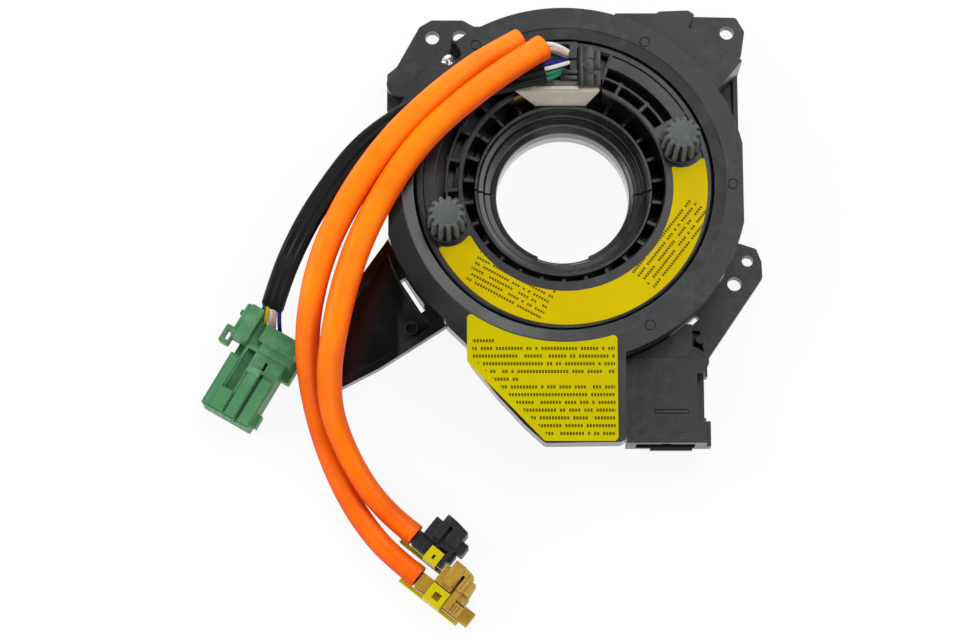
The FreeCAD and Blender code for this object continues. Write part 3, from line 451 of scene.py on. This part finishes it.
# The two drive dogs: grey acetal drivers with fins and a domed top, pushed into
# the rotor's face. They take the steering wheel's turn. Profiles are in millimetres.
dog_circle = 0.0435
dog_angle = math.radians(19.3)
dog_seat = 0.0294
dog_steps = 52
dog_core = [
    (0.0, 0.0), (7.3, 0.0), (7.3, 0.9), (5.5, 1.3), (5.2, 9.0), (5.0, 12.0), (4.5, 13.2),
    (3.6, 14.1), (2.4, 14.7), (1.2, 14.95), (0.0, 15.0),
]
dog_fins = 13
dog_fin = 0.0016
dog_fin_edge = 0.00045
dog_blade = [
    (3.0, 0.8), (7.1, 0.8), (6.9, 4.0), (6.5, 11.0), (6.3, 12.0), (5.8, 12.8), (4.9, 13.3),
    (4.0, 13.2), (3.0, 12.6),
]
# The core between the fins, from its foot to below the dome, is painted dark as a painted shade.
dog_shade_low = 0.001
dog_shade_high = 0.0118
dog_acetal = moulded_finish("dog_acetal", colour(82, 86, 86), colour(132, 136, 135), 0.60,
                            grain=3000.0, corner=0.0005, wall_gloss=0.0, shine=0.15)
dog_painted_shade = moulded_finish("dog_painted_shade", colour(24, 25, 25), colour(36, 37, 37), 0.60,
                           grain=3000.0, corner=0.0005, wall_gloss=0.0, shine=0.1)


def millimetres(points):
    """Points that are written in millimetres, in metres."""
    return [tuple(value / 1000 for value in point) for point in points]


def lathe(shape, profile, steps):
    """Adds a profile of radii and heights, turned once round the Z axis."""
    rim = [shape.verts.new((radius, 0.0, height)) for radius, height in profile]
    edges = [shape.edges.new(pair) for pair in zip(rim, rim[1:])]
    bmesh.ops.spin(shape, geom=rim + edges, cent=(0, 0, 0), axis=(0, 0, 1), angle=math.tau,
                   steps=steps, use_merge=True)


def fins():
    """The mesh of one bevelled fin, repeated round the Z axis."""
    fin = bmesh.new()
    outline = [fin.verts.new((radius, -dog_fin / 2, height))
               for radius, height in millimetres(dog_blade)]
    blade = fin.faces.new(outline)
    grown = bmesh.ops.extrude_face_region(fin, geom=[blade])["geom"]
    moved = [item for item in grown if isinstance(item, bmesh.types.BMVert)]
    bmesh.ops.translate(fin, verts=moved, vec=(0.0, dog_fin, 0.0))
    bmesh.ops.recalc_face_normals(fin, faces=fin.faces)
    bmesh.ops.bevel(fin, geom=fin.edges[:], offset=dog_fin_edge, segments=3, affect="EDGES",
                    profile=0.5, material=-1)
    bmesh.ops.spin(fin, geom=fin.verts[:] + fin.edges[:] + fin.faces[:], cent=(0, 0, 0),
                   axis=(0, 0, 1), angle=math.tau * (dog_fins - 1) / dog_fins,
                   steps=dog_fins - 1, use_duplicate=True)
    mesh = bpy.data.meshes.new("fins")
    fin.to_mesh(mesh)
    fin.free()
    return mesh


def drive_dog(name, angle):
    """A lathed core and its fins, at an angle on the dogs' circle."""
    shape = bmesh.new()
    lathe(shape, millimetres(dog_core), dog_steps)
    bmesh.ops.remove_doubles(shape, verts=shape.verts, dist=0.000001)
    bmesh.ops.recalc_face_normals(shape, faces=shape.faces)
    # Faces of the core between the fins take the painted shade.
    for face in shape.faces:
        height = face.calc_center_median().z
        face.material_index = 1 if dog_shade_low < height < dog_shade_high else 0
    fin_mesh = fins()
    shape.from_mesh(fin_mesh)
    bpy.data.meshes.remove(fin_mesh)
    place = (dog_circle * math.cos(angle), dog_circle * math.sin(angle), dog_seat)
    bmesh.ops.translate(shape, verts=shape.verts, vec=place)
    piece = put_mesh(name, shape, smooth_below=35)
    piece.data.materials.append(dog_acetal)
    piece.data.materials.append(dog_painted_shade)
    return piece


right_dog = drive_dog("drive_dog_right_finned", dog_angle)
left_dog = drive_dog("drive_dog_left_finned", dog_angle + math.pi)
for dog, node in ((right_dog, "drive_dog_right"), (left_dog, "drive_dog_left")):
    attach(dog, "rotor")
    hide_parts(node)


# The two stickers: glossy yellow film with rows of small printed strokes. They
# follow the cover's tongue and the lower half of the rotor's face.
rotor_yellow = (colour(192, 170, 0), colour(186, 158, 0))
casing_yellow = (colour(184, 173, 0), colour(176, 162, 0))
label_ink = colour(52, 48, 8)
ink_share = 0.86
stroke_pitch = 0.00105
stroke_share = 0.74
row_ink = (0.30, 0.72)
row_shift = 0.37
word_gaps = 0.16
word_seed = (0.71, 7.3)
film_scale = 45.0
film_start = 0.3
film_gain = 1.6
film_roughness = 0.22
film_depth = 0.00025
scuff_scale = 700.0
scuff_sheen = 0.12
scuff_height = 0.1
# A block of rows: its centre, its angle, its two corners and the pitch of its rows.
casing_blocks = [((0.0, -0.00125), 0.0, (-0.0322, -0.0902), (0.0172, -0.0550), 0.00272)]
casing_left_edge = -0.0907
casing_left_slant = 0.95
casing_short_rows = [(-21.0, -0.0247), (-26.0, -0.0161)]
rotor_blocks = [
    ((-0.0188, -0.0370), -28.9, (-0.0150, -0.0063), (0.0150, 0.0063), 0.0021),
    ((0.0368, -0.0213), 52.0, (-0.0170, -0.0066), (0.0170, 0.0044), 0.0022),
]


def strokes(finish, place, low, high, row_pitch, short_rows):
    """Ink share of rows of short strokes inside a box of a mapped place."""
    across, up, above = finish.parts(place)
    row = (up / row_pitch).floor()
    height = (up / row_pitch).fraction()
    line = (height > row_ink[0]) * (height < row_ink[1])
    cell = across / stroke_pitch + row * row_shift
    letter = cell.fraction() < stroke_share
    seed_x, seed_y = word_seed
    seed = finish.add("CombineXYZ", {}, {"X": cell.floor() * seed_x, "Y": row * seed_y})
    chance = finish.add("TexWhiteNoise", {"noise_dimensions": "3D"}, {"Vector": seed}, "Value")
    left, bottom = low
    right, top = high
    inside = (across > left) * (across < right) * (up > bottom) * (up < top)
    for short_row, row_end in short_rows:
        past_end = finish.maths("COMPARE", row, short_row) * (across > row_end)
        inside = inside * (1.0 - past_end)
    return line * letter * (chance > word_gaps) * inside


def label_finish(name, film_tones, blocks, left_edge=None, short_rows=()):
    """Glossy film in two tones with its blocks of printed rows."""
    finish = Finish(name)
    place = finish.places()
    cloud = finish.noise(place, film_scale, detail=2.0)
    scuff = finish.noise(place, scuff_scale)
    ink = None
    for centre, angle, low, high, row_pitch in blocks:
        block = {"Location": (*centre, 0.0), "Rotation": (0, 0, math.radians(angle))}
        mapped = finish.add("Mapping", {"vector_type": "TEXTURE"}, {"Vector": place, **block})
        share = strokes(finish, mapped, low, high, row_pitch, short_rows)
        if left_edge is not None:
            across, up, above = finish.parts(mapped)
            share = share * (across + up * casing_left_slant > left_edge)
        ink = share if ink is None else ink + share
    film = finish.blend(((cloud - film_start) * film_gain).clamped(), *film_tones)
    finish.set(
        Base_Color=finish.blend(ink * ink_share, film, label_ink),
        Roughness=film_roughness + scuff * scuff_sheen,
        Specular_IOR_Level=0.03,
        Normal=finish.bump(cloud + scuff * scuff_height, film_depth, 0.4),
    )
    return finish.material


paint(label_finish("casing_label_film", casing_yellow, casing_blocks, casing_left_edge,
                   casing_short_rows), "casing_label")
paint(label_finish("rotor_label_film", rotor_yellow, rotor_blocks), "rotor_label")


# The two orange sleeves: soft vinyl tube, slipped over the igniter leads and cut
# square. They leave the clamp at twelve o'clock and lie down on the table.
sleeve_route_a = millimetres([
    (-15.3, 50.6, 35.8), (-25.8, 44.2, 37.8), (-37.0, 35.3, 40.2), (-48.4, 25.0, 41.2),
    (-59.2, 13.9, 40.8), (-68.5, 1.8, 39.8), (-76.5, -11.0, 38.2), (-83.1, -25.0, 36.8),
    (-87.4, -40.4, 35.9), (-89.8, -53.8, 25.9), (-89.6, -65.8, 15.0), (-86.9, -80.3, 6.2),
    (-81.7, -95.5, 4.5), (-74.5, -110.3, 4.5), (-65.9, -122.5, 4.8), (-57.366, -130.703, 5.4),
    (-50.94, -135.76, 5.4),
])
sleeve_route_b = millimetres([
    (-7.3, 47.0, 38.6), (-18.8, 38.9, 41.4), (-31.7, 28.9, 42.2), (-45.2, 17.2, 42.0),
    (-55.1, 5.6, 41.0), (-63.8, -8.1, 39.4), (-71.4, -23.5, 37.8), (-76.4, -39.0, 36.7),
    (-79.7, -54.4, 35.7), (-82.0, -66.3, 26.1), (-81.6, -79.3, 16.6), (-76.3, -92.5, 11.6),
    (-70.2, -103.3, 9.8), (-65.0, -109.9, 8.4), (-58.554, -116.097, 5.4), (-52.18, -121.22, 5.4),
])
swelling_a = [1.02, 1.06, 1.10, 1.14, 1.18, 1.20, 1.20, 1.16, 1.12, 1.08, 1.05] + [1.0] * 6
swelling_b = [1.12, 1.12, 1.14, 1.16, 1.18, 1.20, 1.22, 1.22, 1.18, 1.12, 1.06] + [1.0] * 5
sleeve_diameter = 0.008
# The second orange is the patches' darker tone and also the painted shade near the table; the
# third is the painted shade on the flanks.
sleeve_orange = colour(255, 128, 2)
sleeve_shade = colour(234, 92, 0)
sleeve_flank_shade = colour(206, 50, 0)
painted_shade_share = 0.8
shade_below = 0.026
shade_slope = 60.0
flank_start = 0.81
flank_side = 0.6
flank_lean = 0.22
flank_gain = 1.5
mouth_wall = 0.0011
mouth_length = 0.0035
mouth_hollow = 0.45
mouth_steps = 40
mouth_lip = [(0.0, -0.2), (0.3, 0.2), (0.75, 0.2), (1.0, -0.3)]
mouth_radius_a = 0.00415
mouth_radius_b = 0.0046
foot_radius = 0.00412


def sleeve_painted_shade(finish, place):
    """Painted shade: the vinyl is painted deeper in tone near the table and on the flanks that
    face away from the light.
    """
    low_shade = ((shade_below - finish.parts(place)[2]) * shade_slope).clamped() * painted_shade_share
    facing = finish.add("NewGeometry", {}, {}, "Normal")
    facing_x, facing_y, facing_up = finish.parts(facing)
    away = facing_x * flank_side - facing_y
    flank_shade = ((flank_start - facing_up + away * flank_lean) * flank_gain).clamped() * painted_shade_share
    return low_shade, flank_shade, sleeve_flank_shade


def flowing_line(name, points, thicknesses=None):
    """A smooth line through a route's points as one open spline."""
    line = bpy.data.curves.new(name, "CURVE")
    line.dimensions = "3D"
    spline = line.splines.new("NURBS")
    spline.points.add(len(points) - 1)
    for index, point in enumerate(points):
        spline.points[index].co = (*point, 1.0)
        if thicknesses is not None:
            spline.points[index].radius = thicknesses[index]
    spline.order_u = 3
    spline.use_endpoint_u = True
    spline.resolution_u = 12
    return line


def round_cord(name, points, diameter, finish, thicknesses=None):
    """A round cord along a route, with a factor of its thickness at each point."""
    line = flowing_line(name, points, thicknesses)
    line.bevel_depth = diameter / 2
    line.bevel_resolution = 8
    line.use_fill_caps = True
    line.materials.append(finish)
    return put(name, line)


def aim(points):
    """The turn and shift that carry a shape from the Z axis to a route's first point."""
    tip = Vector(points[0])
    away = tip - Vector(points[1])
    turn = away.to_track_quat("Z", "Y").to_matrix().to_4x4()
    return Matrix.Translation(tip) @ turn


def sleeve_mouth(name, points, outer):
    """The cut end of a tube: a short wall with a rounded lip and a hollow in it."""
    lip = [(outer - mouth_wall * inward, mouth_wall * up) for inward, up in mouth_lip]
    lip = [(outer, -mouth_length), *lip, (outer - mouth_wall, -mouth_length * mouth_hollow)]
    shape = bmesh.new()
    lathe(shape, lip, mouth_steps)
    bmesh.ops.transform(shape, matrix=aim(points), verts=shape.verts)
    piece = put_mesh(name, shape, smooth_below=60)
    piece.data.materials.append(orange_vinyl)
    return piece


orange_vinyl = soft_finish("orange_vinyl", sleeve_orange, sleeve_shade, sleeve_painted_shade)
sleeve_a = round_cord("orange_tube_a", sleeve_route_a, sleeve_diameter, orange_vinyl, swelling_a)
sleeve_b = round_cord("orange_tube_b", sleeve_route_b, sleeve_diameter, orange_vinyl, swelling_b)
mouth_a = sleeve_mouth("orange_sleeve_a_mouth", sleeve_route_a, mouth_radius_a)
mouth_b = sleeve_mouth("orange_sleeve_b_mouth", sleeve_route_b, mouth_radius_b)
foot_a = sleeve_mouth("orange_sleeve_a_foot", sleeve_route_a[::-1], foot_radius)
foot_b = sleeve_mouth("orange_sleeve_b_foot", sleeve_route_b[::-1], foot_radius)
for piece in (sleeve_a, sleeve_b, mouth_a, mouth_b, foot_a, foot_b):
    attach(piece, "rotor")
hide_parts("orange_sleeve_a")
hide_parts("orange_sleeve_b")


# The black sleeve: a thin vinyl tube that has gone flat over its wires, so their
# backs show as ridges along it. It runs from the clamp to the green plug.
loom_route = millimetres([
    (-6.6, 39.3, 33.7), (-22.4, 35.6, 33.7), (-38.3, 31.6, 33.7), (-50.6, 26.4, 33.7),
    (-61.8, 19.6, 33.8), (-72.2, 10.7, 34.0), (-80.8, -1.1, 34.2), (-88.7, -13.6, 34.4),
    (-95.0, -26.6, 33.6), (-99.4, -34.6, 24.5), (-102.6, -40.8, 14.5),
])
loom_section = millimetres([
    (-4.4, 0.2), (-3.6, 1.7), (-2.2, 1.9), (-1.2, 1.3), (0.0, 2.3), (1.2, 1.4), (2.3, 2.1),
    (3.7, 1.6), (4.4, 0.1), (3.6, -1.6), (1.4, -2.3), (-1.4, -2.3), (-3.6, -1.7),
])


def mesh_of(item):
    """The mesh that a curve object makes."""
    bpy.context.view_layer.update()
    built = item.evaluated_get(bpy.context.evaluated_depsgraph_get())
    return bpy.data.meshes.new_from_object(built)


def flat_sleeve(name, points, section, finish):
    """A tube with a flat ridged section along a route."""
    outline = bpy.data.curves.new(name + "_section", "CURVE")
    outline.dimensions = "2D"
    loop = outline.splines.new("NURBS")
    loop.points.add(len(section) - 1)
    for index, (across, up) in enumerate(section):
        loop.points[index].co = (across, up, 0.0, 1.0)
    loop.use_cyclic_u = True
    loop.order_u = 3
    loop.resolution_u = 4
    pattern = put(name + "_section", outline)
    line = flowing_line(name, points)
    line.twist_mode = "Z_UP"
    line.bevel_mode = "OBJECT"
    line.bevel_object = pattern
    line.use_fill_caps = True
    carrier = put(name + "_line", line)
    mesh = mesh_of(carrier)
    bpy.data.objects.remove(carrier)
    bpy.data.objects.remove(pattern)
    shape = bmesh.new()
    shape.from_mesh(mesh)
    bpy.data.meshes.remove(mesh)
    bmesh.ops.remove_doubles(shape, verts=shape.verts, dist=0.00001)
    piece = put_mesh(name, shape, smooth_below=50)
    piece.data.materials.append(finish)
    return piece


black_vinyl = soft_finish("black_vinyl", colour(16, 17, 18), colour(26, 26, 27))
black_sleeve = flat_sleeve("black_loom_sleeve", loom_route, loom_section, black_vinyl)
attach(black_sleeve, "rotor")
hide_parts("black_sleeve")


# The wires: copper cores in coloured vinyl. A pair from each orange sleeve and four
# from the black one run into the clamp, and five from the black one into its plug.
# Between an orange sleeve and its plug a short dark stub of the lead shows.
wire_diameter = 0.0015
wire_stay = 0.0036
wire_tuck = 0.001
stub_diameter = 0.0042
stub_reach = 0.0019
plug_origin = Vector((-127.6, -74.8, 0.0))
plug_angle = -119.8
plug_back = 36.15
wire_depth = 2.5
wire_tones = {
    "green": ((40, 122, 92), (28, 100, 74)),
    "white": ((222, 218, 205), (200, 196, 182)),
    "pink": ((205, 172, 160), (186, 154, 142)),
    "blue": ((38, 36, 128), (28, 28, 104)),
    "yellow": ((232, 200, 24), (214, 180, 16)),
    "grey": ((150, 152, 150), (128, 130, 128)),
}
wire_vinyl = {name: soft_finish(name + "_wire_vinyl", colour(*bright), colour(*shade))
              for name, (bright, shade) in wire_tones.items()}


def plug_hole(across, height):
    """Where a wire ends in the green plug's back, in millimetres of the part."""
    turn = Matrix.Rotation(math.radians(plug_angle), 3, "Z")
    return plug_origin + turn @ Vector((wire_depth - plug_back, across, height))


def wires_from(name, points, wires):
    """Wires that leave a route's first point square to its sleeve and bend once to their ends.

    Each wire is its place across and up in the sleeve, its end, both in millimetres, and
    its colour.
    """
    tip = Vector(points[0])
    out = (tip - Vector(points[1])).normalized()
    side = Vector((0, 0, 1)).cross(out).normalized()
    up = out.cross(side)
    made = []
    for number, ((across, height), end, tone) in enumerate(wires, 1):
        start = tip + side * (across / 1000) + up * (height / 1000)
        bend = [start - out * wire_tuck, start + out * wire_stay, Vector(end) / 1000]
        made.append(round_cord(f"{name}_{number}", bend, wire_diameter, wire_vinyl[tone]))
    return made


def plug_stub(name, points):
    """The dark end of an igniter lead between its sleeve and its plug."""
    tip = Vector(points[-1])
    step = (tip - Vector(points[-2])).normalized() * stub_reach
    return round_cord(name, [tip - step, tip, tip + step], stub_diameter, black_vinyl)


leads_a = wires_from("sleeve_a_wire", sleeve_route_a, [
    ((-2.2, 0.4), (1.9, 46.2, 28.4), "grey"),
    ((-2.0, -1.4), (1.9, 45.6, 27.4), "green"),
])
leads_b = wires_from("sleeve_b_wire", sleeve_route_b, [
    ((0.6, 0.8), (1.9, 48.0, 30.2), "white"),
    ((-0.8, -0.6), (1.9, 47.1, 29.2), "pink"),
])
leads_loom = wires_from("loom_wire", loom_route, [
    ((2.9, 0.2), (1.2, 45.3, 28.8), "blue"),
    ((1.0, 0.4), (1.9, 44.2, 29.6), "white"),
    ((-1.0, 0.3), (0.6, 42.6, 27.4), "green"),
    ((-2.7, 0.1), (0.2, 42.2, 26.9), "green"),
])
leads_plug = wires_from("plug_wire", loom_route[::-1], [
    ((-3.0, 0.0), plug_hole(4.5, 9.4), "green"),
    ((-1.5, 0.3), plug_hole(6.0, 9.8), "yellow"),
    ((0.0, 0.4), plug_hole(8.1, 10.0), "white"),
    ((1.4, 0.3), plug_hole(9.8, 9.6), "pink"),
    ((2.9, 0.1), plug_hole(12.6, 9.2), "blue"),
])
stub_a = plug_stub("sleeve_a_stub", sleeve_route_a)
stub_b = plug_stub("sleeve_b_stub", sleeve_route_b)
for wire in leads_a + leads_b + leads_loom + leads_plug + [stub_a, stub_b]:
    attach(wire, "rotor")
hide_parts("sleeve_a_leads")
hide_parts("sleeve_b_leads")
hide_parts("loom_clamp_leads")
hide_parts("loom_plug_leads")


# The clamp's cap: a plate with a rail and a moulded rivet that holds the leads
# down and reaches over the terminal block. Black acetal, snapped onto the rotor.
# Its blocks are given by two corners and its rivet by a profile, in millimetres.
cap_edge = 0.00025
cap_slabs = [
    ((5.4, 39.8, 25.0), (10.8, 50.0, 31.0)), ((10.6, 41.2, 25.0), (13.2, 48.6, 31.0)),
    ((5.4, 35.0, 29.1), (13.2, 41.4, 30.4)), ((10.9, 35.2, 30.2), (13.2, 39.6, 31.3)),
    ((5.3, 35.0, 30.2), (6.9, 49.8, 31.8)), ((-1.2, 37.8, 29.1), (5.5, 39.3, 30.3)),
    ((-1.0, 39.8, 29.1), (5.5, 41.3, 30.6)), ((3.0, 37.6, 28.95), (5.5, 41.5, 29.6)),
]
rivet_middle = (0.0092, 0.0433, 0.0310)
rivet_steps = 32
rivet_ring = [(2.35, -0.2), (2.35, 0.18), (2.05, 0.22), (1.95, 0.18), (1.95, -0.2)]


def slab(shape, low, high, edge):
    """Adds a block between two corners in millimetres, with its edges rounded over."""
    block = bmesh.new()
    bmesh.ops.create_cube(block, size=0.001)
    size = [top - bottom for bottom, top in zip(low, high)]
    middle = [(top + bottom) / 2 / 1000 for bottom, top in zip(low, high)]
    bmesh.ops.scale(block, verts=block.verts, vec=size)
    bmesh.ops.translate(block, verts=block.verts, vec=middle)
    bmesh.ops.bevel(block, geom=block.edges[:], offset=edge, segments=2, affect="EDGES",
                    profile=0.5, material=-1)
    part = bpy.data.meshes.new("slab")
    block.to_mesh(part)
    block.free()
    shape.from_mesh(part)
    bpy.data.meshes.remove(part)


cap_shape = bmesh.new()
lathe(cap_shape, millimetres(rivet_ring), rivet_steps)
bmesh.ops.translate(cap_shape, verts=cap_shape.verts, vec=rivet_middle)
for low, high in cap_slabs:
    slab(cap_shape, low, high, cap_edge)
clamp_cap = put_mesh("lead_clamp_cap_moulding", cap_shape, smooth_below=35)
clamp_cap.data.materials.append(rotor_acetal)
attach(clamp_cap, "rotor")
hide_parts("lead_clamp_cap")


# The loom's connector: a green housing with its side lock, both moulded in nylon.
# The wires' contacts snap into the housing, and the lock is pushed in after them.
green_nylon = moulded_finish("green_nylon", colour(70, 126, 82), colour(128, 178, 142), 0.45,
                             wall_gloss=0.0, shine=0.2)
paint(green_nylon, "green_housing", "green_retainer")


# The two igniter plugs: right-angled bodies moulded in black and in tan nylon,
# closed over the ends of their leads, each with a yellow lock that slides along it.
black_nylon = moulded_finish("black_nylon", colour(31, 31, 31), colour(84, 84, 84), 0.44,
                             wall_gloss=0.0, shine=0.25)
tan_nylon = moulded_finish("tan_nylon", colour(164, 127, 40), colour(220, 192, 120), 0.45,
                           wall_gloss=0.0, shine=0.15)
lock_nylon = moulded_finish("lock_nylon", colour(192, 176, 2), colour(232, 218, 50), 0.40,
                            wall_gloss=0.0, shine=0.15)
paint(black_nylon, "black_squib_body")
paint(tan_nylon, "tan_squib_body")
paint(lock_nylon, "black_squib_lock", "tan_squib_lock")


# The three leads hang from the clamp to their plugs. The points along the black
# sleeve's route are read from the route's own line.


def line_points(points):
    """The points that a piece along a route follows, read from the route's own line."""
    bare = put("bare_line", flowing_line("bare_line", points))
    path = [tuple(vertex.co) for vertex in mesh_of(bare).vertices]
    bpy.data.objects.remove(bare)
    return path


line_points(loom_route)
